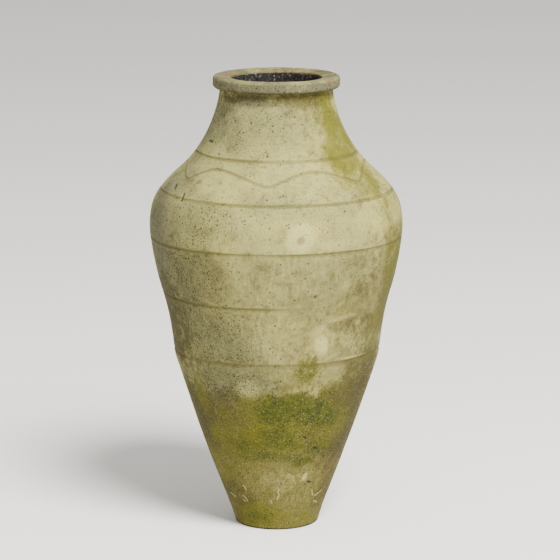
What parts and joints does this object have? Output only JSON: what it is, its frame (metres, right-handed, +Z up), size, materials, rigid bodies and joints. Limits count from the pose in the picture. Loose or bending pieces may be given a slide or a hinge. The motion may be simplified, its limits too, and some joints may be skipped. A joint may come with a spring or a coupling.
{
  "type": "storage jar",
  "caption": "Tall handleless clay storage jar with a narrow foot, high belly, incised rings and wave line, flared neck, rolled rim and dark pitched inside.",
  "frame": {"origin": "middle of the foot's underside, on the ground", "axes": "+Z up the jar's axis; the front faces -Y"},
  "size_m": [0.4993, 0.4994, 0.9],
  "materials": {
    "fired_clay": "matte",
    "pitch": "matte"
  },
  "bodies": {
    "root": {"base_slab": "fired_clay", "foot_section": "fired_clay", "lower_body_section": "fired_clay", "waist_section": "fired_clay", "belly_section": "fired_clay", "upper_belly_section": "fired_clay", "shoulder_section": "fired_clay", "neck_section": "fired_clay", "rim_ring": "fired_clay", "pitch_lining": "pitch"}
  },
  "joints": []
}
